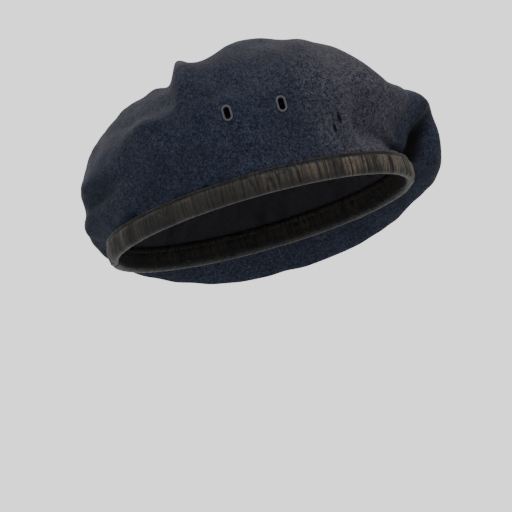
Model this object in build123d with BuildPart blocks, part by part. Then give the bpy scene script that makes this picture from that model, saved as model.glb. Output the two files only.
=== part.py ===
"""Military-style felt beret, as worn: pulled down to the wearer's left, with a leather binding.

Frame, in millimetres: +X to the wearer's front, +Y to the wearer's left, +Z up. The head opening is an
oval on the XY plane with its middle at the origin, level with the lowest line of the leather binding.
"""
from build123d import *
from collections import namedtuple
from math import asin, cos, degrees, pi, sin
import os

# ---- driving dimensions ----
head_length = 197.0         # head opening, front to back, inside the leather
head_width = 157.0          # head opening, side to side, inside the leather
felt = 2.0                  # wall of the felt crown
leather = 1.0               # binding strip
cloth = 0.5                 # lining
ply_gap = 0.2               # slack between one ply and the next
binding_height = 15.0       # outer leg of the binding
sweatband_height = 17.0     # inner leg of the binding
back_gap = 1.6              # opening between the strip's ends
drawstring_diameter = 2.4
drawstring_end = 3.0        # from the middle of the back to the end of the drawstring

vent_spacing = 34.5         # between the two vent eyelets
vent_x = 14.4               # middle of the pair, forward of the middle of the head opening
vent_height = 54.2          # middle of the pair, above the lowest line of the binding
vent_slope = 4.9            # degrees by which the line of the pair falls toward the front
vent_hole_width = 3.9
vent_hole_length = 8.1
vent_rim = 1.35             # width of the eyelet's flange round its hole
vent_flange = 0.7
vent_flange_round = 0.5
vent_tube = 0.4             # wall of the eyelet's tube
vent_fit = 0.1              # between the tube and what it passes through
vent_seat = 0.45            # the flat flange and washer stand off the bowed felt by this much
vent_washer_rim = 2.2       # width of the washer round the tube
vent_washer = 0.5
vent_lip = 0.5              # the end of the tube, rolled out over the washer
vent_lip_height = 0.3

lining_side_height = 55.0   # top of the lining's side band
lining_tip_height = 35.0    # rise of the lining's tip above the side band

label_width = 34.0
label_height = 18.0
label_cloth = 0.3
label_rise = 6.0            # foot of the label above the sweatband

thread = 0.5                # diameter of the sewing thread
stitch_length = 2.6
stitch_pitch = 3.4
stitch_edge = 1.6           # from the edge of a ply to its row of stitches
stitch_lift = 0.05          # keeps a straight stitch off the curved ply beside it
joint_stitches = 4          # whip stitches across the strip's ends
oval_points = 18            # that each oval of the crown is drawn through
ring_steps = 5              # ovals from one given ring of the crown to the next

# ---- places that follow from them ----
lining_out = leather + ply_gap                      # from the head opening out to the lining
lining_back = lining_out + cloth                    # and to the lining's outer face
felt_in = lining_back + ply_gap                     # and to the inner and outer faces of the felt
felt_out = felt_in + felt
strip_out = felt_out + ply_gap + leather            # and to the outer face of the binding
roll_middle = strip_out / 2                         # middle of the roll at the foot of the binding
roll_radius = roll_middle - leather / 2             # middle of the leather where it turns
ply_foot = roll_middle + roll_radius - leather / 2 + ply_gap
stitch_clear = thread / 2 + stitch_lift             # from a ply to the middle of a stitch beside it


def oval(outward):
    """The two radii of the head opening, grown outward by that much."""
    return head_length / 2 + outward, head_width / 2 + outward


def gap_angle(gap):
    """Half the angle that a gap of that width takes at the back of the head opening."""
    return degrees(asin(gap / 2 / (head_width / 2)))


def band_path(outward, height, gap):
    """The run of the binding round the head, open at the back, grown outward by that much."""
    half_gap = gap_angle(gap)
    with BuildLine(Plane.XY.offset(height)) as path:
        EllipticalCenterArc((0, 0), *oval(outward), half_gap - 180, arc_size=360 - 2 * half_gap)
    return path.edge()


def back_path(outward, height, width):
    """A run of that width across the back of the head opening."""
    half_width = gap_angle(width)
    with BuildLine(Plane.XY.offset(height)) as path:
        EllipticalCenterArc((0, 0), *oval(outward), 180 - half_width, arc_size=2 * half_width)
    return path.edge()


def section_plane(path):
    """The plane across the start of a level path: its X points outward from the head, its Y up."""
    tangent = path % 0
    return Plane(path @ 0, x_dir=tangent.cross(Vector(0, 0, 1)), z_dir=-tangent)


def stitches_along(path):
    """Planes at even steps along a path, each with its Z along the run of one stitch."""
    steps = int(path.length / stitch_pitch)
    shares = [(step + 0.5) / steps for step in range(steps)]
    return [Plane(path @ share, x_dir=(0, 0, 1), z_dir=path % share) for share in shares]


# ---- crown ----
# The draped crown runs through tipped ovals. Each is given at the wearer's back, front, right and left, by
# how far it reaches, as a share of the felt's radius at the binding, and by its height there. The list runs
# up from the binding, out under the overhang, round its rim and over the top.
Side = namedtuple("Side", "reach height")
crown_rings = [
    (Side(1.02, 21), Side(1.03, 22), Side(1.02, 23), Side(1.07, 17)),
    (Side(1.07, 24), Side(1.07, 21), Side(1.05, 41), Side(1.22, 3)),
    (Side(1.12, 29), Side(1.18, 20), Side(1.06, 60), Side(1.40, -12)),
    (Side(1.12, 45), Side(1.25, 32), Side(1.03, 79), Side(1.47, 5)),
    (Side(1.02, 64), Side(1.17, 49), Side(0.91, 96), Side(1.41, 33)),
    (Side(0.81, 83), Side(0.94, 70), Side(0.68, 108), Side(1.14, 64)),
    (Side(0.44, 99), Side(0.61, 91), Side(0.34, 113), Side(0.74, 88)),
    (Side(0.08, 107), Side(0.32, 104), Side(0.04, 111), Side(0.34, 102)),
]


def side_profile(side):
    """The crown's outline on one side, in millimetres: a smooth curve through the rings, out and up."""
    radius = oval(felt_out)[side // 2]
    rise = [Vector(ring[side].reach * radius, ring[side].height) for ring in crown_rings]
    ends = [Vector(radius, ply_foot), Vector(radius, binding_height)] + rise + rise[-1:]
    profile = [ends[0]]
    for before, start, end, after in zip(ends, ends[1:], ends[2:], ends[3:]):
        leave, arrive = (end - before) / 2, (after - start) / 2
        for step in range(ring_steps):
            t = step / ring_steps
            curve = start * (2 * t**3 - 3 * t**2 + 1) + leave * (t**3 - 2 * t**2 + t)
            profile.append(curve + end * (3 * t**2 - 2 * t**3) + arrive * (t**3 - t**2))
    return profile + ends[-1:]


def inset(profile, depth):
    """A profile moved into the crown by that much, square to the line between each point's neighbours."""
    ends = zip(profile, profile[2:] + profile[-1:])
    runs = [Vector(0, 1)] * 2 + [(last - first).normalized() for first, last in list(ends)[1:]]
    return [point - Vector(run.Y, -run.X) * depth for point, run in zip(profile, runs)]


def oval_outline(half_length, half_width):
    """A smooth closed oval that starts at the wearer's front, so that the loft through them can't twist."""
    turns = [2 * pi * point / oval_points for point in range(oval_points)]
    with BuildLine() as outline:
        Spline([(half_length * cos(turn), half_width * sin(turn)) for turn in turns], periodic=True)
    return outline.edges()


def crown_ovals(depth):
    """The plane and outline of every oval of the crown's skin at that depth in the felt."""
    profiles = [inset(side_profile(side), depth) for side in range(4)]
    ovals = []
    for back, front, right, left in zip(*profiles):
        along = Vector(front.X + back.X, 0, front.Y - back.Y) / 2
        across = Vector(0, left.X + right.X, left.Y - right.Y) / 2
        middle = Vector((front.X - back.X) / 2, (left.X - right.X) / 2, (left.Y + right.Y) / 2)
        tipped = Plane(middle, x_dir=along, z_dir=along.cross(across))
        ovals.append((tipped, oval_outline(along.length, across.length)))
    return ovals


def draped_solid(depth):
    """The solid under the crown's skin at that depth in the felt."""
    with BuildPart() as solid:
        for tipped, outline in crown_ovals(depth):
            with BuildSketch(tipped):
                make_face(outline)
        loft(ruled=True)
    return solid.part


with BuildPart() as plain_crown:
    add(draped_solid(0))
    add(draped_solid(felt), mode=Mode.SUBTRACT)

# ---- vent eyelets ----
vent_slot = vent_tube + vent_fit                    # from the hole out to the slot in the felt and the washer
vent_depth = vent_seat + felt + vent_seat           # from the flange down to the washer


def vent_plane(forward):
    """The plane on the crown's right wall that far forward of the pair's middle: Z out of the felt, Y up."""
    place = Vector(vent_x, -head_width, vent_height) + Vector(forward, 0, 0).rotate(Axis.Y, vent_slope)
    point, outward = plain_crown.part.shell().find_intersection_points(Axis(place, (0, 1, 0)))[0]
    return Plane(point, x_dir=Vector(0, 0, 1).cross(outward), z_dir=outward).rotated((0, 0, -vent_slope))


vent_seats = {"rear": vent_plane(-vent_spacing / 2), "front": vent_plane(vent_spacing / 2)}

with BuildPart() as crown:
    add(plain_crown.part)
    for seat in vent_seats.values():
        with BuildSketch(seat.offset(vent_seat)):
            SlotOverall(vent_hole_length + 2 * vent_slot, vent_hole_width + 2 * vent_slot, rotation=90)
        extrude(amount=-vent_depth, mode=Mode.SUBTRACT)

pieces = {"crown": crown}
for name, seat in vent_seats.items():
    flange_foot = seat.offset(vent_seat)
    washer_face = flange_foot.offset(-vent_depth)
    lip_face = washer_face.offset(-vent_washer)
    with BuildPart() as eyelet:
        with BuildSketch(flange_foot):
            SlotOverall(vent_hole_length + 2 * vent_rim, vent_hole_width + 2 * vent_rim, rotation=90)
        extrude(amount=vent_flange)
        flange_face = eyelet.faces().sort_by(Axis(seat.origin, seat.z_dir))[-1]
        fillet(flange_face.edges(), vent_flange_round)
        with BuildSketch(flange_foot):
            SlotOverall(vent_hole_length + 2 * vent_tube, vent_hole_width + 2 * vent_tube, rotation=90)
        extrude(amount=-vent_depth - vent_washer)
        with BuildSketch(lip_face):
            SlotOverall(vent_hole_length + 2 * vent_lip, vent_hole_width + 2 * vent_lip, rotation=90)
        extrude(amount=-vent_lip_height)
        with BuildSketch(flange_foot.offset(vent_flange)):
            SlotOverall(vent_hole_length, vent_hole_width, rotation=90)
        extrude(amount=-vent_flange - vent_depth - vent_washer - vent_lip_height, mode=Mode.SUBTRACT)
    with BuildPart() as washer:
        with BuildSketch(washer_face):
            SlotOverall(vent_hole_length + 2 * vent_washer_rim, vent_hole_width + 2 * vent_washer_rim,
                        rotation=90)
            SlotOverall(vent_hole_length + 2 * vent_slot, vent_hole_width + 2 * vent_slot, rotation=90,
                        mode=Mode.SUBTRACT)
        extrude(amount=-vent_washer)
    pieces["eyelet_" + name] = eyelet
    pieces["washer_" + name] = washer

# ---- leather binding and its drawstring ----
binding_path = band_path(0, 0, back_gap)
with BuildPart() as leather_binding:
    with BuildSketch(section_plane(binding_path)):
        with BuildLine():
            Line((leather / 2, sweatband_height), (leather / 2, roll_middle))
            CenterArc((roll_middle, roll_middle), roll_radius, 180, 180)
            Line((roll_middle + roll_radius, roll_middle), (roll_middle + roll_radius, binding_height))
        trace(line_width=leather)
    sweep(path=binding_path)
pieces["leather_binding"] = leather_binding

drawstring_path = band_path(roll_middle, roll_middle, 2 * drawstring_end)
with BuildPart() as drawstring:
    with BuildSketch(section_plane(drawstring_path)):
        Circle(drawstring_diameter / 2)
    sweep(path=drawstring_path)
pieces["drawstring"] = drawstring

# ---- lining ----
with BuildPart() as lining_side:
    with BuildSketch(Plane.XY.offset(ply_foot)):
        Ellipse(*oval(lining_back))
        Ellipse(*oval(lining_out), mode=Mode.SUBTRACT)
    extrude(amount=lining_side_height - ply_foot)
pieces["lining_side"] = lining_side

# The tip stands straight at its foot, where the seam is, then domes over the head. Each ring is its share
# of the head opening's radii and of the tip's rise.
tip_foot = lining_side_height + ply_gap
tip_rings = [(1, 0), (1, 0.12), (0.96, 0.36), (0.83, 0.64), (0.6, 0.85), (0.32, 0.96), (0.1, 1)]


def tip_loft(outward, drop):
    """The solid under the lining's tip, grown outward by that much and lowered, but for its foot."""
    length, width = oval(outward)
    with BuildPart() as dome:
        for share, rise in tip_rings:
            height = tip_foot + rise * (lining_tip_height - drop)
            with BuildSketch(Plane.XY.offset(height)):
                Ellipse(length * share, width * share)
        loft()
    return dome.part


with BuildPart() as lining_tip:
    add(tip_loft(lining_back, 0))
    add(tip_loft(lining_out, cloth), mode=Mode.SUBTRACT)
pieces["lining_tip"] = lining_tip

label_foot = sweatband_height + label_rise
label_path = back_path(lining_out - ply_gap - label_cloth, label_foot, label_width)
with BuildPart() as size_label:
    with BuildSketch(section_plane(label_path)):
        Rectangle(label_cloth, label_height, align=(Align.MIN, Align.MIN))
    sweep(path=label_path)
pieces["size_label"] = size_label

# ---- stitches ----
# Each stitch is the straight run of thread that shows on the face of its ply.
label_face = lining_out - ply_gap - label_cloth
label_rows = (label_foot + stitch_edge, label_foot + label_height - stitch_edge)
stitch_rows = {
    "binding_stitches_outside": [band_path(strip_out + stitch_clear, binding_height - stitch_edge, back_gap)],
    "binding_stitches_inside": [band_path(-stitch_clear, binding_height - stitch_edge, back_gap)],
    "label_stitches": [back_path(label_face - stitch_clear, height, label_width) for height in label_rows],
}
for name, paths in stitch_rows.items():
    with BuildPart() as stitches:
        for path in paths:
            with Locations(*stitches_along(path)):
                Cylinder(thread / 2, stitch_length)
    pieces[name] = stitches

seam_path = band_path(lining_out - stitch_clear, lining_side_height, back_gap)
with BuildPart() as lining_seam_stitches:
    with Locations(*[Location(plane.origin) for plane in stitches_along(seam_path)]):
        Cylinder(thread / 2, stitch_length)
pieces["lining_seam_stitches"] = lining_seam_stitches

joint_pitch = (binding_height - 2 * roll_middle - stitch_edge) / joint_stitches
with BuildPart() as binding_joint_stitches:
    for step in range(joint_stitches):
        height = 2 * roll_middle + step * joint_pitch
        with Locations(Plane((-head_length / 2 - strip_out - stitch_clear, 0, height), z_dir=(0, 1, 0))):
            Cylinder(thread / 2, back_gap + stitch_length)
pieces["binding_joint_stitches"] = binding_joint_stitches

os.makedirs("parts", exist_ok=True)
for name, piece in pieces.items():
    piece.part.label = name
    export_step(piece.part, f"parts/{name}.step")
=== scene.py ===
from math import cos, pi, radians, sin

import bmesh
import bpy
import numpy as np
from mathutils import Matrix, Vector
from mathutils.bvhtree import BVHTree


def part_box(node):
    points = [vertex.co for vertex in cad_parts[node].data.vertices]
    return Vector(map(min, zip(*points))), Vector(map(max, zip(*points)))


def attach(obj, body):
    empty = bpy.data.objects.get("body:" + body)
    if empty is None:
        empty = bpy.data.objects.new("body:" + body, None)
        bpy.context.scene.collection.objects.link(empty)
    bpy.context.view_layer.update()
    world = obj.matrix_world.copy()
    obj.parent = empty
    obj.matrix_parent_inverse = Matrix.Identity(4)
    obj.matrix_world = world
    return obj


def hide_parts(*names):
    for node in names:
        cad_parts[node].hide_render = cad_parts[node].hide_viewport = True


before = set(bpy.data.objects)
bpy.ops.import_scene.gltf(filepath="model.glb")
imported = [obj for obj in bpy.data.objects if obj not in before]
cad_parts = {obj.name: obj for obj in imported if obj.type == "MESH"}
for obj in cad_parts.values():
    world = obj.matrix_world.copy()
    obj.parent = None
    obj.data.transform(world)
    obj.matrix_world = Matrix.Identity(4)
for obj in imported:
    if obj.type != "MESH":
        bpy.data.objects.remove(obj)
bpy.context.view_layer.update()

mm = 0.001

# the binding's box gives the head opening, and everything else hangs on it
plies = {"leather": 1.0, "gap": 0.2, "lining": 0.5, "felt": 2.0}
bindingLow, bindingHigh = (np.array(corner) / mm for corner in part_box("leather_binding"))
stripOut = plies["leather"] * 2 + plies["gap"] * 3 + plies["lining"] + plies["felt"]
headLength = (bindingHigh[0] - bindingLow[0]) / 2 - stripOut
headWidth = (bindingHigh[1] - bindingLow[1]) / 2 - stripOut
liningOut = plies["leather"] + plies["gap"]
feltIn = liningOut + plies["lining"] + plies["gap"]
feltOut = feltIn + plies["felt"]
stitchDown = 1.35  # from the edge of the outer leg to the top of its row of stitches
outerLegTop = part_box("binding_stitches_outside")[1][2] / mm + stitchDown
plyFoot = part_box("lining_side")[0][2] / mm


def smooth(value):
    value = np.clip(value, 0, 1)
    return value * value * (3 - 2 * value)


def rise(value, start, length):
    # 0 up to start, then smoothly to 1 over that length
    return smooth((value - start) / length)


def hump(value, middle, width):
    return np.exp(-0.5 * ((value - middle) / width) ** 2)


def waves(points, size, seed, count=9):
    # soft noise: a few sine waves in random directions
    dice = np.random.RandomState(seed)
    total = np.zeros(len(points))
    for _ in range(count):
        direction = dice.normal(size=3)
        direction *= 2 * pi / (size * dice.uniform(0.7, 1.6)) / np.linalg.norm(direction)
        total += np.sin(points @ direction + dice.uniform(0, 2 * pi))
    return total / np.sqrt(count / 2)


def ripple(turn, seed, low, high, count=14):
    # soft noise round the head, closed at a full turn
    dice = np.random.RandomState(seed)
    total = np.zeros_like(turn)
    for _ in range(count):
        total += np.sin(turn * dice.randint(low, high) + dice.uniform(0, 2 * pi))
    return total / np.sqrt(count / 2)


def meshObject(name, points, faces, material, uv=None):
    mesh = bpy.data.meshes.new(name)
    mesh.from_pydata([tuple(point) for point in np.asarray(points) * mm], [], faces)
    if uv is not None:
        layer = mesh.uv_layers.new(name="UVMap")
        loops = np.empty(len(mesh.loops), dtype=np.int32)
        mesh.loops.foreach_get("vertex_index", loops)
        layer.data.foreach_set("uv", np.asarray(uv)[loops].ravel())
    mesh.materials.append(material)
    mesh.shade_smooth()
    piece = bpy.data.objects.new(name, mesh)
    bpy.context.scene.collection.objects.link(piece)
    return piece


def pointValues(piece, name, values):
    attribute = piece.data.attributes.new(name, "FLOAT", "POINT")
    attribute.data.foreach_set("value", np.asarray(values, dtype=np.float32))


def applyModifiers(piece):
    graph = bpy.context.evaluated_depsgraph_get()
    graph.update()
    result = bpy.data.meshes.new_from_object(piece.evaluated_get(graph), depsgraph=graph)
    piece.modifiers.clear()
    old = piece.data
    piece.data = result
    bpy.data.meshes.remove(old)
    piece.data.name = piece.name


def faceOutward(piece):
    turned = bmesh.new()
    turned.from_mesh(piece.data)
    bmesh.ops.recalc_face_normals(turned, faces=turned.faces)
    turned.to_mesh(piece.data)
    turned.free()


def finishPiece(piece, slot, *nodes):
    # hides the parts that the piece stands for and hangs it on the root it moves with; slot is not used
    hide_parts(*nodes)
    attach(piece, "root")


def gridFaces(rows, columns):
    return [
        (row * columns + column, row * columns + (column + 1) % columns,
         (row + 1) * columns + (column + 1) % columns, (row + 1) * columns + column)
        for row in range(rows - 1) for column in range(columns)
    ]


class Nodes:
    # a short way to add and link shader nodes
    def __init__(self, name):
        self.material = bpy.data.materials.new(name)
        self.material.use_nodes = True
        self.tree = self.material.node_tree
        self.shader = self.tree.nodes["Principled BSDF"]

    def add(self, kind, *links, **values):
        node = self.tree.nodes.new("ShaderNode" + kind)
        for key, value in values.items():
            setattr(node, key, value)
        for socket, source in links:
            if isinstance(source, bpy.types.NodeSocket):
                self.tree.links.new(source, node.inputs[socket])
            else:
                node.inputs[socket].default_value = source
        return node

    def math(self, operation, first, second=0.5, third=0.0, clamp=False):
        links = [(0, first), (1, second), (2, third)]
        return self.add("Math", *links, operation=operation, use_clamp=clamp).outputs[0]

    def ramp(self, value, low, high, start=0.0, end=1.0):
        links = [("Value", value), ("From Min", low), ("From Max", high), ("To Min", start),
                 ("To Max", end)]
        return self.add("MapRange", *links, interpolation_type="SMOOTHSTEP").outputs[0]

    def mix(self, share, first, second, blend="MIX"):
        node = self.add("Mix", data_type="RGBA", blend_type=blend)
        for index, source in ((0, share), (6, first), (7, second)):
            if isinstance(source, bpy.types.NodeSocket):
                self.tree.links.new(source, node.inputs[index])
            elif index:
                node.inputs[index].default_value = (*source, 1)
            else:
                node.inputs[index].default_value = source
        return node.outputs[2]

    def noise(self, where, scale, detail=3.0, roughness=0.5, distortion=0.0):
        links = [("Vector", where), ("Scale", scale), ("Detail", detail), ("Roughness", roughness),
                 ("Distortion", distortion)]
        return self.add("TexNoise", *links).outputs["Fac"]

    def attribute(self, name):
        return self.add("Attribute", attribute_name=name).outputs["Fac"]

    def place(self, kind="Object"):
        return self.add("TexCoord").outputs[kind]

    def bump(self, height, strength, distance, below=None):
        links = [("Height", height), ("Strength", strength), ("Distance", distance)]
        if below is not None:
            links.append(("Normal", below))
        return self.add("Bump", *links).outputs[0]

    def finish(self, links=(), **values):
        for socket, source in links:
            self.tree.links.new(source, self.shader.inputs[socket])
        for socket, value in values.items():
            self.shader.inputs[socket.replace("_", " ")].default_value = value
        return self.material


feltLook = {
    # the warm grey is fading plus painted highlight on the upper ridges; the near black is the tears' own
    # dark and painted shade deep in the hollow
    "deep": (0.0014, 0.0023, 0.0058), "pale": (0.0225, 0.027, 0.0395), "worn": (0.018, 0.016, 0.0165),
    "front": (0.066, 0.056, 0.062), "lint": (0.085, 0.085, 0.09), "tearsAndShade": (0.0006, 0.0006, 0.0008),
    # how many of each in a metre
    "fibre": 1200.0, "clump": 420.0, "patch": 38.0, "specks": 900.0, "strands": 1200.0, "fray": 900.0,
    "clumpDepth": 0.5 * mm, "fibreDepth": 0.25 * mm, "tearDepth": 1.5 * mm,
    # each tear: its middle and how far it reaches, in millimetres
    "tears": [((65.0, -74.0, 38.0), (1.5, 9.0, 4.2)), ((60.3, -75.0, 31.8), (1.1, 9.0, 3.8))],
}


def makeFelt():
    felt = Nodes("feltNap")
    where = felt.place()
    clump = felt.noise(where, feltLook["clump"], 5.0, 0.65)
    fibre = felt.noise(where, feltLook["fibre"], 4.0, 0.75, 1.2)
    patch = felt.noise(where, feltLook["patch"], 3.0, 0.6)
    shade = felt.math("ADD", felt.ramp(clump, 0.38, 0.68, 0.0, 0.4), felt.ramp(fibre, 0.46, 0.64))
    shade = felt.math("MULTIPLY", shade, felt.ramp(patch, 0.25, 0.75, 0.5, 0.8))
    colour = felt.mix(shade, feltLook["deep"], feltLook["pale"])
    # browner toward the front of the right side
    place = felt.add("SeparateXYZ", ("Vector", where))
    towardFront = felt.ramp(place.outputs[0], 0.01, 0.1, 0.0, 0.8)
    towardFront = felt.math("MULTIPLY", towardFront, felt.ramp(place.outputs[1], 0.005, -0.03))
    colour = felt.mix(felt.math("MULTIPLY", towardFront, shade), colour, feltLook["front"])
    # fading plus painted highlight on the upper, upward-facing ridges
    worn = felt.math("MULTIPLY", felt.attribute("worn"), felt.ramp(clump, 0.2, 0.7, 0.35, 1.0))
    colour = felt.mix(worn, colour, feltLook["worn"])
    # specks of lint and a few loose fibres
    lint = felt.ramp(felt.noise(where, feltLook["specks"], 2.0, 0.6, 2.5), 0.685, 0.76, 0.0, 0.4)
    colour = felt.mix(lint, colour, feltLook["lint"])
    strand = felt.add("Mapping", ("Vector", where), ("Rotation", (0.4, 0.9, 0.3)),
                      ("Scale", (1.0, 1.0, 0.22)))
    strand = felt.noise(strand.outputs[0], feltLook["strands"], 1.0, 0.5, 1.5)
    colour = felt.mix(felt.ramp(strand, 0.715, 0.78, 0.0, 0.25), colour, feltLook["lint"])
    tear = 0.0
    ragged = felt.noise(where, feltLook["fray"], 4.0, 0.7)
    for middle, size in feltLook["tears"]:
        spot = felt.add("Mapping", ("Vector", where), ("Location", [-m / s for m, s in zip(middle, size)]),
                        ("Scale", [1 / (s * mm) for s in size]))
        reach = felt.add("VectorMath", (0, spot.outputs[0]), operation="LENGTH").outputs["Value"]
        edge = felt.math("ADD", reach, felt.math("MULTIPLY", ragged, 1.9))
        tear = felt.math("MAXIMUM", tear, felt.ramp(edge, 2.1, 1.8))
    # the tears are their own near black; the hollow's depth gets painted shade
    tearsAndShade = felt.math("MAXIMUM", tear, felt.attribute("paintedShade"))
    colour = felt.mix(tearsAndShade, colour, feltLook["tearsAndShade"])
    pit = felt.bump(felt.math("MULTIPLY", tear, -1.0), 1.0, feltLook["tearDepth"])
    coarse = felt.bump(clump, 0.55, feltLook["clumpDepth"], pit)
    fine = felt.bump(fibre, 0.6, feltLook["fibreDepth"], coarse)
    return felt.finish([("Base Color", colour), ("Normal", fine)], Roughness=0.95,
                       Specular_IOR_Level=0.05, Sheen_Weight=0.03, Sheen_Roughness=0.4,
                       Sheen_Tint=(0.72, 0.7, 0.72, 1))


leatherLook = {
    # the rubbed brown is wear plus painted highlight on the puffs; the near black is the cracks and painted
    # shade in the troughs and the stitched groove
    "black": (0.0024, 0.0021, 0.0019), "brown": (0.0075, 0.0058, 0.0042), "worn": (0.04, 0.031, 0.021),
    "crack": (0.0004, 0.0003, 0.0003),
    # cracks for each millimetre along the strip, and how much they stretch across it
    "cracks": 0.24, "stretch": 0.3,
    # how many of each in a metre
    "grain": 900.0, "bends": 240.0, "blotches": 55.0,
    "crackDepth": 0.5 * mm, "grainDepth": 0.2 * mm,
}


def makeLeather():
    leather = Nodes("wornLeather")
    where = leather.place()
    along = leather.add("Mapping", ("Vector", leather.place("UV")),
                        ("Scale", (1.0, leatherLook["stretch"], 1.0)))
    cracks = leather.add("TexVoronoi", ("Vector", along.outputs[0]), ("Scale", leatherLook["cracks"]),
                         ("Randomness", 1.0), feature="DISTANCE_TO_EDGE").outputs["Distance"]
    bent = leather.noise(where, leatherLook["bends"], 4.0, 0.6)
    cracks = leather.math("ADD", cracks, leather.math("MULTIPLY", bent, 0.3))
    crack = leather.ramp(cracks, 0.24, 0.15)
    grain = leather.noise(where, leatherLook["grain"], 5.0, 0.6)
    blotch = leather.ramp(leather.noise(where, leatherLook["blotches"], 4.0, 0.6), 0.35, 0.7)
    colour = leather.mix(blotch, leatherLook["black"], leatherLook["brown"])
    # the tops of the puffs are rubbed brown and lit with a painted highlight, most of all at the front
    puff = leather.attribute("puff")
    side = leather.add("SeparateXYZ", ("Vector", where))
    frontRubAndHighlight = leather.ramp(side.outputs[0], -0.03, 0.085)
    rubAndHighlight = leather.math("MULTIPLY", leather.ramp(puff, 0.45, 1.0),
                       leather.ramp(grain, 0.35, 0.65, 0.35, 1.0))
    rubAndHighlight = leather.math("MULTIPLY", rubAndHighlight, leather.math("ADD", frontRubAndHighlight, 0.12, clamp=True))
    colour = leather.mix(rubAndHighlight, colour, leatherLook["worn"])
    # the cracks are dark, and painted shade darkens the troughs between the puffs and the stitched groove
    dark = leather.math("MAXIMUM", leather.math("MULTIPLY", crack, 0.85),
                        leather.ramp(puff, 0.3, 0.0, 0.0, 0.8))
    colour = leather.mix(dark, colour, leatherLook["crack"])
    creased = leather.bump(leather.math("MULTIPLY", crack, -1.0), 0.8, leatherLook["crackDepth"])
    normal = leather.bump(grain, 0.35, leatherLook["grainDepth"], creased)
    rough = leather.ramp(grain, 0.2, 0.8, 0.45, 0.7)
    return leather.finish([("Base Color", colour), ("Normal", normal), ("Roughness", rough)],
                          Specular_IOR_Level=0.14)


def makeCloth(name, dark, pale, pitch, space="UV", ways=(0, 1)):
    cloth = Nodes(name)
    place = cloth.add("SeparateXYZ", ("Vector", cloth.place(space)))
    warp, weft = (cloth.math("SINE", cloth.math("MULTIPLY", place.outputs[way], 2 * pi / pitch))
                  for way in ways)
    weave = cloth.math("MULTIPLY", warp, weft)
    slub = cloth.noise(cloth.place(), 500.0, 4.0, 0.6)
    shade = cloth.math("ADD", cloth.math("MULTIPLY", weave, 0.3), slub, clamp=True)
    colour = cloth.mix(shade, dark, pale)
    normal = cloth.bump(weave, 0.5, 0.1 * mm, cloth.bump(slub, 0.3, 0.2 * mm))
    return cloth.finish([("Base Color", colour), ("Normal", normal)], Roughness=0.85,
                        Sheen_Weight=0.03, Specular_IOR_Level=0.1)


def makeThread(name, dark, pale, twist):
    thread = Nodes(name)
    strand = thread.noise(thread.place(), twist, 3.0, 0.6)
    colour = thread.mix(strand, dark, pale)
    return thread.finish([("Base Color", colour), ("Normal", thread.bump(strand, 0.5, 0.1 * mm))],
                         Roughness=0.75, Specular_IOR_Level=0.15)


def makePaint(name, paint, bare, roughness):
    coat = Nodes(name)
    where = coat.place()
    chips = coat.ramp(coat.noise(where, 900.0, 5.0, 0.7), 0.6, 0.66)
    tone = coat.mix(coat.noise(where, 350.0, 3.0), [c * 0.7 for c in paint], [c * 1.3 for c in paint])
    colour = coat.mix(chips, tone, bare)
    rough = coat.ramp(coat.noise(where, 600.0, 3.0), 0.2, 0.8, roughness - 0.1, roughness + 0.12)
    metal = coat.ramp(chips, 0.0, 1.0, 0.05, 0.7)
    return coat.finish([("Base Color", colour), ("Roughness", rough), ("Metallic", metal),
                        ("Normal", coat.bump(chips, 0.3, 0.05 * mm))])


felt = makeFelt()
leather = makeLeather()
liningCloth = makeCloth("liningCotton", (0.004, 0.004, 0.0055), (0.016, 0.016, 0.019), 0.7)
labelCloth = makeCloth("labelTape", (0.34, 0.32, 0.28), (0.55, 0.53, 0.47), 0.5 * mm, "Object", (1, 2))
thread = makeThread("waxedThread", (0.003, 0.003, 0.003), (0.016, 0.0145, 0.0135), 2500.0)
cordCloth = makeThread("braidedCord", (0.004, 0.004, 0.0045), (0.02, 0.02, 0.022), 1400.0)
eyeletPaint = makePaint("eyeletPaint", (0.005, 0.0063, 0.009), (0.02, 0.02, 0.022), 0.65)
washerSteel = makePaint("washerPlate", (0.13, 0.135, 0.14), (0.08, 0.06, 0.045), 0.4)
print("materials made")


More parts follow.
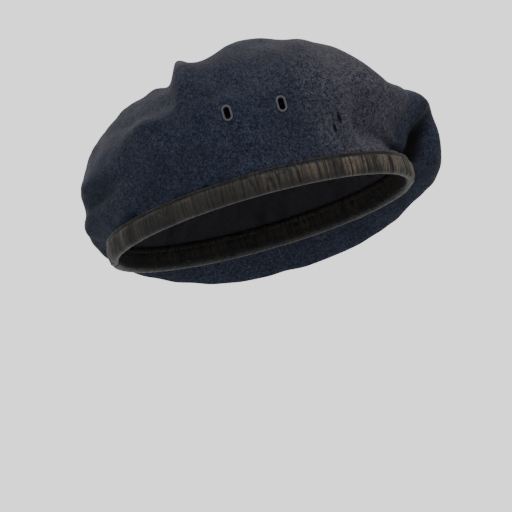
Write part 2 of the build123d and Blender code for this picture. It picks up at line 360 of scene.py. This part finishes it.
# each ring: how far it reaches at the back, front, right and left as a share of the felt's radius at the
# binding, and its height there in millimetres
crownShape = {
    "rings": [
        ((1.02, 21), (1.03, 22), (1.02, 23), (1.07, 17)),
        ((1.07, 24), (1.07, 21), (1.05, 41), (1.22, 3)),
        ((1.12, 29), (1.18, 20), (1.06, 60), (1.40, -12)),
        ((1.12, 45), (1.25, 32), (1.03, 79), (1.47, 5)),
        ((1.02, 64), (1.17, 49), (0.91, 96), (1.41, 33)),
        ((0.81, 83), (0.94, 70), (0.68, 108), (1.14, 64)),
        ((0.44, 99), (0.61, 91), (0.34, 113), (0.74, 88)),
        ((0.08, 107), (0.32, 104), (0.04, 111), (0.34, 102)),
    ],
    "around": 300, "steps": 13, "freeAfter": 0.9,
    # the crown leans forward on the binding; the folds below are given before it leans and sinks
    "lean": 4.9, "sink": (-0.7, 0.0, -0.6),
    # soft pushes in the felt: middle, spread and push, all in millimetres
    "pushes": [
        ((-96, -30, 62), (16, 40, 18), (5, 0, -3)),
        ((-80, -30, 82), (20, 32, 14), (3, 0, -5)),
        ((-14, -40, 108), (12, 32, 14), (0, 0, -4.5)),
        ((6, -36, 112), (11, 28, 14), (0, 0, 2.4)),
        ((18, -34, 114), (15, 30, 14), (0, -1, 0.8)),
        ((40, -36, 112), (7, 26, 14), (0, 0, -2.5)),
        ((65, -34, 105), (11, 28, 14), (0, 0, 3.4)),
        ((-22, -42, 107), (7, 24, 12), (0, 0, -4)),
        ((-31, -40, 106), (5, 24, 12), (0, 0, 1.8)),
        ((-43, -42, 101), (4.5, 22, 14), (1, 0, -4)),
        ((94, -16, 82), (14, 30, 15), (-3, 0, -9)),
        ((114, 22, 66), (12, 17, 13), (6.5, 0, 3.5)),
        ((120, 40, 26), (14, 26, 18), (4, 0, -3)),
        ((-106, -24, 34), (20, 22, 4.5), (7, 4, 0)),
        ((-104, -24, 46), (16, 26, 8), (-2.5, -1.5, 0)),
        ((78, -66, 66), (12, 20, 17), (-1, 4.5, 0)),
        ((0, 60, 96), (45, 22, 20), (0, 0, -4)),
        ((60, 70, 70), (24, 16, 30), (0, -3, -4)),
        ((-55, 75, 66), (22, 16, 28), (0, -3, -4)),
    ],
    # in the folds below, a pair of numbers is where the fold starts to come or go, and over what length
    "shoulder": {"x": -43.0, "width": 9.0, "crest": 5.0, "back": 30.0, "up": (62.0, 22.0),
                 "across": (-28.0, 42.0), "push": (0.0, 7.0, -7.5)},
    "roll": {"foot": (-38.5, 70.0), "top": (-25.0, 106.0), "width": 7.5, "up": (64.0, 18.0),
             "across": (-12.0, 30.0), "push": (0.0, -3.5, 0.5)},
    "ridge": {"points": [(66.0, 56.0), (54.0, 80.0), (38.0, 112.0)], "width": 6.0, "height": 2.6,
              "troughDepth": 0.8, "troughAway": 15.6, "troughWidth": 7.8, "up": (50.0, 18.0),
              "across": (-20.0, 26.0), "lift": 0.5},
    "hollow": {"y": 7.0, "width": 7.0, "front": (60.0, 30.0), "up": (4.0, 12.0), "top": (41.0, 22.0),
               "depth": 20.0},
    # painted shade in the hollow: its width, where it starts at the front, its soft edge and where it fades
    # at the top
    "shade": {"width": 5.95, "front": (70.0, 25.0), "edge": (0.2, 0.5), "top": (43.0, 24.0)},
    "cheek": {"depth": 19.0, "height": 44.0, "spread": 14.0, "inner": (-4.0, 14.0),
              "front": (55.0, 40.0), "outer": (45.0, 35.0)},
    # slow waves all over the felt: size in millimetres, seed and share
    "drift": 1.1, "driftWaves": [(42, 3, 0.7), (19, 8, 0.3)],
    # the egg that the waves push away from
    "belly": {"middle": (0, 0, 30), "reach": (100, 82, 60)},
    # gathers just above the binding
    "pucker": 0.4, "puckerSeed": 21, "puckersAround": (24, 70), "puckerRow": 4, "puckerReach": 5.0,
    # fading and painted highlight on the upper ridges, where the felt faces up
    "worn": {"most": 0.55, "slope": (-0.05, 0.7), "height": (30.0, 60.0), "patch": 16, "seed": 5},
}


def sideProfile(side):
    radius = (headLength, headWidth)[side // 2] + feltOut
    climb = [(ring[side][0] * radius, ring[side][1]) for ring in crownShape["rings"]]
    ends = np.array([(radius, plyFoot), (radius, outerLegTop), *climb, climb[-1]])
    profile = [ends[0], (ends[0] + ends[1]) / 2]
    steps = crownShape["steps"]
    for before, start, end, after in zip(ends, ends[1:], ends[2:], ends[3:]):
        leave, arrive = (end - before) / 2, (after - start) / 2
        for t in np.arange(steps) / steps:
            curve = start * (2 * t**3 - 3 * t**2 + 1) + leave * (t**3 - 2 * t**2 + t)
            profile.append(curve + end * (3 * t**2 - 2 * t**3) + arrive * (t**3 - t**2))
    return np.array(profile + [ends[-1]])


def crownSurface():
    back, front, right, left = (sideProfile(side) for side in range(4))
    turn = np.arange(crownShape["around"]) / crownShape["around"] * 2 * pi
    middle = np.stack([(front - back)[:, 0], (left - right)[:, 0], (left + right)[:, 1]], 1) / 2
    flat = np.zeros(len(back))
    along = np.stack([(front + back)[:, 0], flat, (front - back)[:, 1]], 1) / 2
    across = np.stack([flat, (left + right)[:, 0], (left - right)[:, 1]], 1) / 2
    rows = middle[:, None] + along[:, None] * np.cos(turn)[None, :, None] \
        + across[:, None] * np.sin(turn)[None, :, None]
    return rows, turn


def foldCrown(points, high):
    # high is 0 at the binding and 1 where the felt is free to fold
    given = points
    lean = radians(crownShape["lean"])
    turned = np.array([(cos(lean), 0, -sin(lean)), (0, 1, 0), (sin(lean), 0, cos(lean))])
    points = (points - crownShape["sink"]) @ turned.T
    moved = points.copy()
    x, y, z = points.T
    for middle, spread, push in crownShape["pushes"]:
        share = np.exp(-0.5 * (((points - middle) / spread) ** 2).sum(1))
        moved += share[:, None] * push
    fold = crownShape["shoulder"]
    crest = fold["x"] - fold["crest"]
    share = rise(-x, -fold["x"] - fold["width"], fold["width"])
    share = share * np.where(x < crest, hump(x, crest, fold["back"]), 1)
    share = share * rise(z, *fold["up"]) * (1 - rise(y, *fold["across"]))
    moved += share[:, None] * fold["push"]
    fold = crownShape["roll"]
    (footX, footZ), (topX, topZ) = fold["foot"], fold["top"]
    middle = np.interp(z, (footZ, topZ), (footX, topX))
    share = hump(x, middle, fold["width"]) * rise(z, *fold["up"]) * (1 - rise(y, *fold["across"]))
    moved += share[:, None] * fold["push"]
    fold = crownShape["ridge"]
    places, heights = zip(*fold["points"])
    middle = np.interp(z, heights, places)
    trough = fold["troughDepth"] * hump(x, middle + fold["troughAway"], fold["troughWidth"])
    share = (hump(x, middle, fold["width"]) - trough) * rise(z, *fold["up"])
    share = share * (1 - rise(y, *fold["across"]))
    moved[:, 1] -= share * fold["height"]
    moved[:, 2] += share * fold["height"] * fold["lift"]
    fold = crownShape["hollow"]
    share = hump(y, fold["y"], fold["width"]) * rise(x, *fold["front"])
    share = share * rise(z, *fold["up"]) * (1 - rise(z, *fold["top"]))
    moved[:, 0] -= share * fold["depth"]
    # painted shade: how dark the felt is painted deep in the hollow
    shade = crownShape["shade"]
    paintedShade = hump(y, fold["y"], shade["width"]) * rise(x, *shade["front"])
    paintedShade = rise(paintedShade, *shade["edge"]) * (1 - rise(z, *shade["top"]))
    fold = crownShape["cheek"]
    share = rise(-y, *fold["inner"]) * rise(x, *fold["front"]) * hump(z, fold["height"], fold["spread"])
    moved[:, 0] -= share * fold["depth"] * (1 - rise(-y, *fold["outer"]))
    drift = sum(waves(points, size, seed) * share for size, seed, share in crownShape["driftWaves"])
    outward = (points - crownShape["belly"]["middle"]) / crownShape["belly"]["reach"]
    outward /= np.linalg.norm(outward, axis=1)[:, None]
    moved += outward * (drift * crownShape["drift"])[:, None]
    return given + (moved - points) @ turned * smooth(high)[:, None], paintedShade


def eyeletPlane(name):
    # the flat face of the flange: its middle, the way out of the felt, and the long way of the slot
    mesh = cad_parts[name].data
    points = np.array([vertex.co for vertex in mesh.vertices]) / mm
    low, high = points.min(0), points.max(0)
    middle = (low + high) / 2
    spread = np.linalg.eigh(np.cov((points - middle).T))[1]
    out, tall = spread[:, 0], spread[:, 2]
    out = out * (-1 if out[1] > 0 else 1)
    reach = (points - middle) @ out
    return middle + out * reach.max(), out, tall * (1 if tall[2] > 0 else -1)


vent = {
    "flange": 0.7, "holeWidth": 3.9, "holeLength": 8.1, "tube": 0.55,
    # the felt under the flange: its gap, how far round it lies flat, and where the dimple ends
    "seat": 0.12, "press": 7.5, "dimple": 17.0, "reach": 14.0,
    # how far the cutter stands out of the felt and goes into it
    "cutOut": 3.0, "cutIn": 9.0, "cutSides": 40,
}
eyelets = [eyeletPlane("eyelet_rear"), eyeletPlane("eyelet_front")]


def seatEyelets(points):
    # the felt is pressed flat under each flange and sinks a little round it
    for face, out, tall in eyelets:
        away = points - (face - out * (vent["flange"] + vent["seat"]))
        depth = away @ out
        reach = np.linalg.norm(away - depth[:, None] * out, axis=1)
        near = (depth > -vent["reach"]) & (reach < vent["dimple"])
        share = 1 - rise(reach, vent["press"], vent["dimple"] - vent["press"])
        points = points - np.where(near, share * depth, 0)[:, None] * out
    return points


def slotCutter(face, out, tall):
    across = np.cross(tall, out)
    radius = vent["holeWidth"] / 2 + vent["tube"]
    straight = (vent["holeLength"] - vent["holeWidth"]) / 2
    outline = []
    for turn in np.linspace(0, 2 * pi, vent["cutSides"], endpoint=False):
        end = straight if sin(turn) >= 0 else -straight
        outline.append(across * radius * cos(turn) + tall * (radius * sin(turn) + end))
    count = len(outline)
    points = [face + out * vent["cutOut"] + step for step in outline]
    points += [face - out * vent["cutIn"] + step for step in outline]
    faces = [tuple(range(count)), tuple(range(2 * count - 1, count - 1, -1))]
    faces += [(i, i + count, (i + 1) % count + count, (i + 1) % count) for i in range(count)]
    cutter = meshObject("slotCutter", points, faces, felt)
    faceOutward(cutter)
    return cutter


def makeCrown():
    rows, turn = crownSurface()
    count, columns = rows.shape[:2]
    level = np.repeat(np.arange(count), columns)
    high = (level - 1) / (crownShape["freeAfter"] * crownShape["steps"])
    points, paintedShade = foldCrown(rows.reshape(-1, 3), high)
    # the felt is gathered into the binding, and puckers just above it
    around = np.tile(turn, count)
    gather = ripple(around, crownShape["puckerSeed"], *crownShape["puckersAround"]) * (level > 1)
    gather = gather * np.exp(-np.abs(level - crownShape["puckerRow"]) / crownShape["puckerReach"])
    radial = np.stack([np.cos(around), np.sin(around), np.zeros_like(around)], 1)
    points += radial * (gather * crownShape["pucker"])[:, None]
    points = seatEyelets(points)
    pole = points[-columns:].mean(0)
    faces = gridFaces(count, columns)
    top = (count - 1) * columns
    faces += [(top + i, top + (i + 1) % columns, len(points)) for i in range(columns)]
    points = np.vstack([points, pole])
    piece = meshObject("felt_crown", points, faces, felt)
    normals = np.empty(len(points) * 3)
    piece.data.vertices.foreach_get("normal", normals)
    # fading plus painted highlight where the felt faces up, high on the crown
    fade = crownShape["worn"]
    worn = rise(normals[2::3], *fade["slope"]) * rise(points[:, 2], *fade["height"])
    worn = worn * (0.75 + 0.25 * waves(points, fade["patch"], fade["seed"]))
    pointValues(piece, "worn", np.clip(worn, 0, 1) * fade["most"])
    # painted shade deep in the hollow, kept on the felt for its material
    pointValues(piece, "paintedShade", np.append(paintedShade, 0))
    wall = piece.modifiers.new("wall", "SOLIDIFY")
    wall.thickness = plies["felt"] * mm
    wall.offset = -1
    cutters = [slotCutter(*plane) for plane in eyelets]
    for cutter in cutters:
        cut = piece.modifiers.new("slot", "BOOLEAN")
        cut.object = cutter
        cut.solver = "EXACT"
    applyModifiers(piece)
    for cutter in cutters:
        bpy.data.objects.remove(cutter)
    finishPiece(piece, "felt", "crown")
    return piece


crown = makeCrown()
print("crown made", len(crown.data.polygons), "faces")


binding = {
    "around": 1100, "innerTop": bindingHigh[2], "puff": 1.5, "lip": 0.4, "groove": 0.45, "seam": 1.6,
    "backGap": 1.6, "rollSides": 9, "rowStep": 0.8,
    # seed and how many there are round the head, at the fewest and the most
    "gathers": (5, 60, 150), "swells": (9, 14, 40), "pinches": (31, 30, 75), "leans": (12, 40, 90),
    "lean": 0.004, "frontFrom": (-0.4, 1.2), "leanMiddle": 8,
    # how much of the puff there is: everywhere, more in the gathers and swells, less at the pinches
    "rest": 0.5, "gathered": 0.32, "swollen": 0.25, "pinched": 0.55, "sharpness": 8, "range": (0.05, 1.4),
    # rows of the section: the stitched groove, which is given painted shade, and the last row of the roll;
    # then the level of rub and painted highlight on the flat rows
    "grooveRows": (4, 5), "lastOuterRow": 19, "flatRubAndHighlight": 0.55,
}


def bindingSection(puff, lip):
    # one closed section, out and up: the outer leg, the roll, the inner leg and back along the inside
    thick = plies["leather"]
    middle = stripOut / 2
    top, seam, innerTop = outerLegTop, outerLegTop - binding["seam"], binding["innerTop"]
    outer = [(stripOut - 0.25, top, 0), (stripOut - 0.05, top - 0.15, lip), (stripOut, top - 0.6, lip),
             (stripOut - 0.1, seam + 0.45, lip * 0.3), (stripOut - binding["groove"], seam, 0),
             (stripOut - 0.15, seam - 0.6, puff * 0.3), (stripOut, seam - 1.6, puff * 0.75),
             (stripOut, seam - 3.4, puff), (stripOut, seam - 5.4, puff),
             (stripOut, seam - 7.4, puff * 0.95), (stripOut, seam - 9.2, puff * 0.85)]
    for turn in np.linspace(0, pi, binding["rollSides"])[1:]:
        swell = puff * (0.7 - 0.6 * turn / pi)
        outer.append((middle + middle * cos(turn), middle - middle * sin(turn), swell))
    inner = [(0, 5.5, 0), (0, 9, 0), (0, seam - 0.6, 0), (0.12, seam, 0), (0, seam + 0.6, 0),
             (0, innerTop - 0.2, 0), (0.3, innerTop, 0), (thick, innerTop - 0.2, 0), (thick, 9, 0),
             (thick, middle, 0)]
    for turn in np.linspace(pi, 0, binding["rollSides"])[1:]:
        inner.append((middle + (middle - thick) * cos(turn), middle - (middle - thick) * sin(turn), 0))
    return outer + inner + [(stripOut - thick, 9, 0), (stripOut - thick, top - 0.2, 0)]


def makeBinding():
    gap = binding["backGap"] / 2 / (headWidth + stripOut)
    turns = np.linspace(-pi + gap, pi - gap, binding["around"])
    # puffed between the gathers and pinched at them, most of all toward the front
    frontward = rise(np.cos(turns), *binding["frontFrom"])
    gather = binding["gathered"] * np.abs(ripple(turns, *binding["gathers"]))
    swell = binding["rest"] + gather * (0.5 + 0.8 * frontward)
    swell += binding["swollen"] * ripple(turns, *binding["swells"])
    pinch = np.exp(-binding["sharpness"] * np.abs(ripple(turns, *binding["pinches"])))
    swell -= binding["pinched"] * pinch * (0.4 + 0.6 * frontward)
    swell = np.clip(swell, *binding["range"]) * binding["puff"]
    leans = ripple(turns, *binding["leans"]) * binding["lean"]
    step = (headLength + headWidth) / 2 * (turns[1] - turns[0])
    points, uv, puffs = [], [], []
    for index, turn in enumerate(turns):
        section = bindingSection(swell[index], binding["lip"])
        for row, (out, up, puff) in enumerate(section):
            shift = turn + leans[index] * (up / binding["leanMiddle"] - 1) * (puff > 0)
            reach = out + puff
            points.append(((headLength + reach) * cos(shift), (headWidth + reach) * sin(shift), up))
            uv.append((index * step, row * binding["rowStep"]))
            # the stitched groove's rows get painted shade; the flat rows get a little rub and painted
            # highlight and no shade; the rest follow the puff
            if row in binding["grooveRows"]:
                puffs.append(0.0)
            elif row < binding["grooveRows"][0] or row > binding["lastOuterRow"]:
                puffs.append(binding["flatRubAndHighlight"])
            else:
                puffs.append(puff / binding["puff"])
    columns = len(section)
    faces = gridFaces(len(turns), columns)
    faces += [tuple(range(columns)), tuple(range(len(points) - 1, len(points) - columns - 1, -1))]
    piece = meshObject("leather_strip", points, faces, leather, uv)
    pointValues(piece, "puff", puffs)
    faceOutward(piece)
    finishPiece(piece, "leather", "leather_binding")
    return piece


strip = makeBinding()
print("binding made", len(strip.data.polygons), "faces")


liningShape = {
    "around": 360, "sideRows": 16, "sideTop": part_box("lining_side")[1][2] / mm,
    "tipTop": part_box("lining_tip")[1][2] / mm, "tipRows": 40, "spare": 1.4, "middleHeight": 45.0,
    # the side band's folds: seed and fewest and most round the head, broad and fine
    "wrinkle": 1.1, "broad": (41, 8, 30), "fine": (43, 20, 60), "twist": 0.004,
    # the tip: its gathers at the seam and its slack, in millimetres
    "gather": 0.9, "gathers": (51, 30, 80), "slack": 1.6, "slacks": (53, 3, 9),
    "tip": [(1, 0), (1, 0.12), (0.96, 0.36), (0.83, 0.64), (0.6, 0.85), (0.32, 0.96), (0.1, 1)],
    "tipCut": (2.25, 2.35),
}


def keepInside(points):
    # pulls the lining in wherever a fold of the felt would reach it
    felted = BVHTree.FromObject(crown, bpy.context.evaluated_depsgraph_get())
    kept = points.copy()
    for index, point in enumerate(points):
        middle = np.array((0, 0, min(point[2], liningShape["middleHeight"])))
        away = point - middle
        reach = np.linalg.norm(away)
        hit = felted.ray_cast(Vector(middle * mm), Vector(away / reach))
        room = hit[3] / mm - liningShape["spare"] if hit[0] else reach
        if room < reach and point[2] > bindingHigh[2]:
            kept[index] = middle + away * room / reach
    return kept


def clothPiece(name, node, points, faces, uv):
    piece = meshObject(name, keepInside(points), faces, liningCloth, uv)
    wall = piece.modifiers.new("wall", "SOLIDIFY")
    wall.thickness = plies["lining"] * mm
    wall.offset = 1
    applyModifiers(piece)
    finishPiece(piece, "lining_cloth", node)
    return piece


def makeLiningSide():
    turn = np.arange(liningShape["around"]) / liningShape["around"] * 2 * pi
    top = liningShape["sideTop"]
    heights = np.linspace(plyFoot, top, liningShape["sideRows"])
    points, uv = [], []
    for height in heights:
        free = rise(height, bindingHigh[2], 12) * (1 - rise(height, top - 10, 12) * 0.8)
        fold = ripple(turn, *liningShape["broad"])
        fold = np.abs(fold + 0.5 * ripple(turn + height * liningShape["twist"], *liningShape["fine"]))
        out = liningOut + free * liningShape["wrinkle"] * fold
        points.append(np.stack([(headLength + out) * np.cos(turn), (headWidth + out) * np.sin(turn),
                                np.full_like(turn, height)], 1))
        uv.append(np.stack([turn * (headLength + headWidth) / 2, np.full_like(turn, height)], 1))
    return clothPiece("lining_band", "lining_side", np.vstack(points), gridFaces(len(heights), len(turn)),
                      np.vstack(uv))


def makeLiningTip():
    turn = np.arange(liningShape["around"]) / liningShape["around"] * 2 * pi
    foot = liningShape["sideTop"] + plies["gap"]
    top = liningShape["tipTop"] - plies["lining"]
    shares, rises = np.array(liningShape["tip"]).T
    runs = np.linspace(0, 1, len(shares))
    points, uv = [], []
    rows = np.linspace(0, 1, liningShape["tipRows"])
    for row in rows:
        share = np.interp(row, runs, shares)
        height = foot + np.interp(row, runs, rises) * (top - foot)
        pleat = ripple(turn, *liningShape["gathers"]) * np.exp(-row * 4) * smooth(row * 9)
        slack = ripple(turn + row, *liningShape["slacks"]) * smooth(row * 2) * (1 - rise(row, 0.75, 0.25))
        drop = np.abs(pleat) * liningShape["gather"] + np.abs(slack) * liningShape["slack"]
        points.append(np.stack([((headLength + liningOut) * share - drop * 0.3) * np.cos(turn),
                                ((headWidth + liningOut) * share - drop * 0.3) * np.sin(turn),
                                height - drop], 1))
        uv.append(points[-1][:, :2])
    points.append(points[-1].mean(0)[None])
    uv.append(np.zeros((1, 2)))
    count = len(turn)
    last = (len(rows) - 1) * count
    faces = gridFaces(len(rows), count)
    faces += [(last + i, last + (i + 1) % count, last + count) for i in range(count)]
    return clothPiece("lining_dome", "lining_tip", np.vstack(points), faces, np.vstack(uv))


makeLiningSide()
makeLiningTip()
print("lining made")


stitching = {
    "length": 2.7, "pitch": 3.4, "radius": 0.27, "sides": 8, "rings": 6,
    "backLeft": 0.03,  # turn left free at the back, where the strip's ends meet
    "seam": {"pitch": 4.0, "length": 2.2, "inward": 0.3},
    "joint": {"pitch": 2.3, "length": 2.6, "count": 4, "foot": 5.5, "step": 2.0, "half": 2.2, "slope": 1.0,
              "outward": 0.35},
    "label": {"pitch": 2.6, "length": 2.0, "edge": 1.2, "share": 0.95, "inward": 0.65},
}


def stitchTree():
    tree = bpy.data.node_groups.new("stitchRow", "GeometryNodeTree")
    face = tree.interface
    face.new_socket("Path", in_out="INPUT", socket_type="NodeSocketGeometry")
    for name, value in (("Pitch", stitching["pitch"]), ("Stitch length", stitching["length"]),
                        ("Thread radius", stitching["radius"]), ("Turn", 0.0)):
        face.new_socket(name, in_out="INPUT", socket_type="NodeSocketFloat").default_value = value * mm
    face.new_socket("Thread", in_out="INPUT", socket_type="NodeSocketMaterial")
    face.new_socket("Stitches", in_out="OUTPUT", socket_type="NodeSocketGeometry")
    nodes, links = tree.nodes, tree.links

    def add(kind, *wires, **values):
        node = nodes.new(kind)
        for key, value in values.items():
            setattr(node, key, value)
        for socket, source in wires:
            if isinstance(source, bpy.types.NodeSocket):
                links.new(source, node.inputs[socket])
            else:
                node.inputs[socket].default_value = source
        return node

    given = nodes.new("NodeGroupInput")
    curve = add("GeometryNodeMeshToCurve", ("Mesh", given.outputs["Path"]))
    spaced = add("GeometryNodeResampleCurve", ("Curve", curve.outputs[0]),
                 ("Length", given.outputs["Pitch"]), mode="LENGTH")
    tangent = add("GeometryNodeInputTangent")
    aimed = add("FunctionNodeAlignRotationToVector", ("Vector", tangent.outputs[0]), axis="Z")
    ball = add("GeometryNodeMeshUVSphere", ("Segments", stitching["sides"]), ("Rings", stitching["rings"]),
               ("Radius", 1.0))
    half = add("ShaderNodeMath", (0, given.outputs["Stitch length"]), (1, 0.5), operation="MULTIPLY")
    size = add("ShaderNodeCombineXYZ", (0, given.outputs["Thread radius"]),
               (1, given.outputs["Thread radius"]), (2, half.outputs[0]))
    placed = add("GeometryNodeInstanceOnPoints", ("Points", spaced.outputs[0]),
                 ("Instance", ball.outputs[0]), ("Rotation", aimed.outputs[0]), ("Scale", size.outputs[0]))
    turned = add("GeometryNodeRotateInstances", ("Instances", placed.outputs[0]))
    turn = add("ShaderNodeCombineXYZ", (0, given.outputs["Turn"]))
    links.new(turn.outputs[0], turned.inputs["Rotation"])
    real = add("GeometryNodeRealizeInstances", ("Geometry", turned.outputs[0]))
    smoothed = add("GeometryNodeSetShadeSmooth", (0, real.outputs[0]))
    painted = add("GeometryNodeSetMaterial", ("Geometry", smoothed.outputs[0]),
                  ("Material", given.outputs["Thread"]))
    done = nodes.new("NodeGroupOutput")
    links.new(painted.outputs[0], done.inputs[0])
    return tree


stitchRow = stitchTree()


def sewRow(name, node, runs, pitch=stitching["pitch"], length=stitching["length"], turn=0.0):
    # each run is a list of points in millimetres that the row of stitches follows
    points, edges = [], []
    for run in runs:
        first = len(points)
        points += [tuple(np.array(point) * mm) for point in run]
        edges += [(i, i + 1) for i in range(first, len(points) - 1)]
    mesh = bpy.data.meshes.new(name)
    mesh.from_pydata(points, edges, [])
    piece = bpy.data.objects.new(name, mesh)
    bpy.context.scene.collection.objects.link(piece)
    rows = piece.modifiers.new("stitches", "NODES")
    rows.node_group = stitchRow
    sockets = {item.name: item.identifier for item in stitchRow.interface.items_tree
               if item.in_out == "INPUT"}
    rows[sockets["Pitch"]] = pitch * mm
    rows[sockets["Stitch length"]] = length * mm
    rows[sockets["Thread radius"]] = stitching["radius"] * mm
    rows[sockets["Turn"]] = turn
    rows[sockets["Thread"]] = thread
    applyModifiers(piece)
    finishPiece(piece, "thread", node)


def ovalRun(out, height, start=-pi, end=pi, count=400):
    turns = np.linspace(start, end, count)
    return [((headLength + out) * cos(t), (headWidth + out) * sin(t), height) for t in turns]


seamHeight = outerLegTop - binding["seam"]
start, end = -pi + stitching["backLeft"], pi - stitching["backLeft"]
sewRow("topstitch_outside", "binding_stitches_outside",
       [ovalRun(stripOut - binding["groove"] + 0.1, seamHeight, start, end)])
sewRow("topstitch_inside", "binding_stitches_inside",
       [ovalRun(-stitching["radius"] * 0.5, seamHeight, start, end)])
seam = stitching["seam"]
sewRow("lining_seam", "lining_seam_stitches", [ovalRun(liningOut - seam["inward"], liningShape["sideTop"])],
       seam["pitch"], seam["length"], turn=pi / 2)
joint = stitching["joint"]
jointX = -(headLength + stripOut + stitching["radius"] + joint["outward"])
jointRuns = []
for step in range(joint["count"]):
    height = joint["foot"] + step * joint["step"]
    jointRuns.append([(jointX, -joint["half"], height), (jointX, joint["half"], height + joint["slope"])])
sewRow("back_joint", "binding_joint_stitches", jointRuns, joint["pitch"], joint["length"])
label = stitching["label"]
labelLow, labelHigh = (np.array(corner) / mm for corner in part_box("size_label"))
labelTurn = (labelHigh[1] - labelLow[1]) / 2 / headWidth * label["share"]
sewRow("label_stitching", "label_stitches",
       [ovalRun(liningOut - label["inward"], height, pi - labelTurn, pi + labelTurn, 40)
        for height in (labelLow[2] + label["edge"], labelHigh[2] - label["edge"])],
       label["pitch"], label["length"])
print("stitches made")

# these pieces keep their shape and get their own finish
keptLooks = {"eyelet_front": eyeletPaint, "eyelet_rear": eyeletPaint, "washer_front": washerSteel,
             "washer_rear": washerSteel, "drawstring": cordCloth, "size_label": labelCloth}
for name, look in keptLooks.items():
    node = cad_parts[name]
    node.data.materials.clear()
    node.data.materials.append(look)

stage = {"floor": -0.5, "size": 30.0, "target": (0.0, 0.0, 0.008), "elevation": -13.0, "roll": -15.9,
         "distance": 1.4, "lens": 148.5, "shift": (-0.0085, -0.0835), "sky": 1.6, "paper": 0.86,
         "lights": {"keyLight": ((0.5, -1.1, 1.3), 1.0, 42.0), "topLight": ((-0.5, 0.1, 1.6), 1.2, 30.0)}}


def makeStage():
    half = stage["size"] / 2
    corners = np.array([(-half, -half, 0), (half, -half, 0), (half, half, 0), (-half, half, 0)]) / mm
    paper = Nodes("studioFloor")
    paper.finish(Base_Color=(stage["paper"], stage["paper"], stage["paper"], 1), Roughness=0.9)
    floor = meshObject("studio_floor", corners + np.array((0, 0, stage["floor"])) / mm, [(0, 1, 2, 3)],
                       paper.material)
    world = bpy.data.worlds.new("studio")
    world.use_nodes = True
    world.node_tree.nodes["Background"].inputs["Color"].default_value = (1, 1, 1, 1)
    world.node_tree.nodes["Background"].inputs["Strength"].default_value = stage["sky"]
    bpy.context.scene.world = world


def areaLight(name, place, size, power):
    light = bpy.data.lights.new(name, "AREA")
    light.size = size
    light.energy = power
    lamp = bpy.data.objects.new(name, light)
    lamp.location = place
    lamp.rotation_euler = (Vector(stage["target"]) - Vector(place)).to_track_quat("-Z", "Y").to_euler()
    bpy.context.scene.collection.objects.link(lamp)


def makeCamera():
    tilt = radians(stage["elevation"])
    target = Vector(stage["target"])
    away = Vector((0, -cos(tilt), sin(tilt)))
    roll = radians(stage["roll"])
    right, up = Vector((1, 0, 0)), Vector((0, sin(tilt), cos(tilt)))
    cameraRight = right * cos(roll) + up * sin(roll)
    cameraUp = up * cos(roll) - right * sin(roll)
    lens = bpy.data.cameras.new("studioCamera")
    lens.lens = stage["lens"]
    lens.shift_x, lens.shift_y = stage["shift"]
    camera = bpy.data.objects.new("studioCamera", lens)
    turn = Matrix((cameraRight, cameraUp, away)).transposed().to_4x4()
    camera.matrix_world = Matrix.Translation(target + away * stage["distance"]) @ turn
    bpy.context.scene.collection.objects.link(camera)
    bpy.context.scene.camera = camera


makeStage()
for name, (place, size, power) in stage["lights"].items():
    areaLight(name, place, size, power)
makeCamera()
print("stage made")
